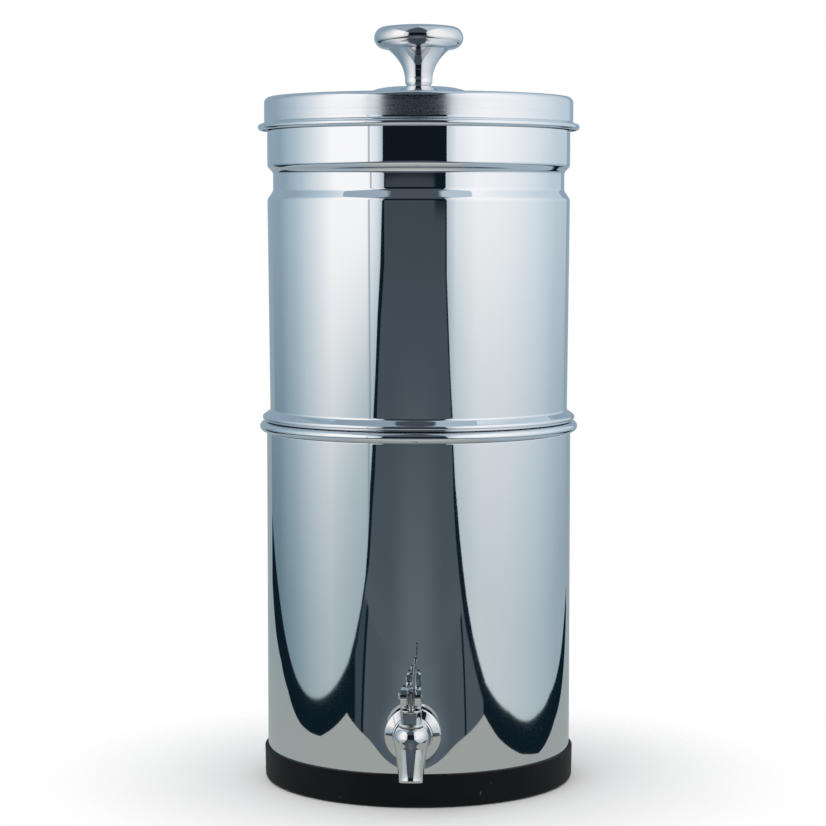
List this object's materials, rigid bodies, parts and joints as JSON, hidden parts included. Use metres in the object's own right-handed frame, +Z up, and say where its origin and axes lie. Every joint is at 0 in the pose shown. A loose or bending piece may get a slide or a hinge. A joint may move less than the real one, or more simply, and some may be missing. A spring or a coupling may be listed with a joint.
{
  "type": "gravity water filter",
  "caption": "Stacked stainless steel gravity water filter with beaded lid and knob, ceramic candles inside and a forked lever tap on the lower chamber.",
  "frame": {"origin": "centre of the base ring's underside, on the chambers' upright axis", "axes": "+Z up along the chambers' axis, the tap points towards -Y, +X to the right seen from the tap's side"},
  "size_m": [0.2314, 0.2699, 0.5451],
  "materials": {
    "shell_steel": "mirror polished stainless sheet with a faint grain around the body",
    "turned_steel": "turned and polished stainless steel",
    "fastener_steel": "plain stainless steel",
    "base_rubber": "satin black rubber",
    "gasket_rubber": "matt black rubber",
    "silicone": "clear white silicone",
    "candle_ceramic": "bare porous ceramic",
    "cap_plastic": "moulded dark plastic"
  },
  "bodies": {
    "lower": {"base_ring": "base_rubber", "lower_chamber": "shell_steel", "tap_outer_gasket": "gasket_rubber", "tap_escutcheon": "turned_steel", "tap_body": "turned_steel", "tap_inner_gasket": "gasket_rubber", "tap_washer": "fastener_steel", "tap_lock_nut": "fastener_steel", "tap_bonnet": "turned_steel", "bonnet_seal": "gasket_rubber", "stem_o_ring": "gasket_rubber", "valve_spring": "fastener_steel"},
    "upper": {"upper_chamber": "shell_steel", "candle_left": "candle_ceramic", "candle_right": "candle_ceramic", "candle_cap_left": "cap_plastic", "candle_cap_right": "cap_plastic", "floor_washers": "silicone", "wing_nuts": "cap_plastic", "blanking_plugs": "cap_plastic"},
    "cover": {"lid": "shell_steel", "knob": "turned_steel", "knob_seal": "silicone", "knob_screw": "fastener_steel", "knob_screw_washer": "fastener_steel"},
    "valve": {"valve_stem": "turned_steel", "seat_washer": "silicone", "seat_screw": "fastener_steel"},
    "handle": {"lever": "turned_steel", "lever_pin": "fastener_steel"}
  },
  "joints": [
    {"name": "upper_lift", "type": "slide", "parent": "lower", "child": "upper", "axis": [0, 0, 1], "range_m": [0, 0.08]},
    {"name": "lid_lift", "type": "slide", "parent": "upper", "child": "cover", "axis": [0, 0, 1], "range_m": [0, 0.05]},
    {"name": "valve_slide", "type": "slide", "parent": "lower", "child": "valve", "axis": [0, 0, 1], "range_m": [0, 0.003], "stiffness_N_per_m": 1200, "springref_m": -0.006, "deforming": ["valve_spring"]},
    {"name": "lever_tilt", "type": "hinge", "parent": "valve", "child": "handle", "pos_m": [0, -0.14, 0.084], "axis": [1, 0, 0], "range_deg": [0, 85]}
  ],
  "couplings": [
    {"joint": "lever_tilt", "follows": "valve_slide", "rad_per_m": 494.5}
  ]
}
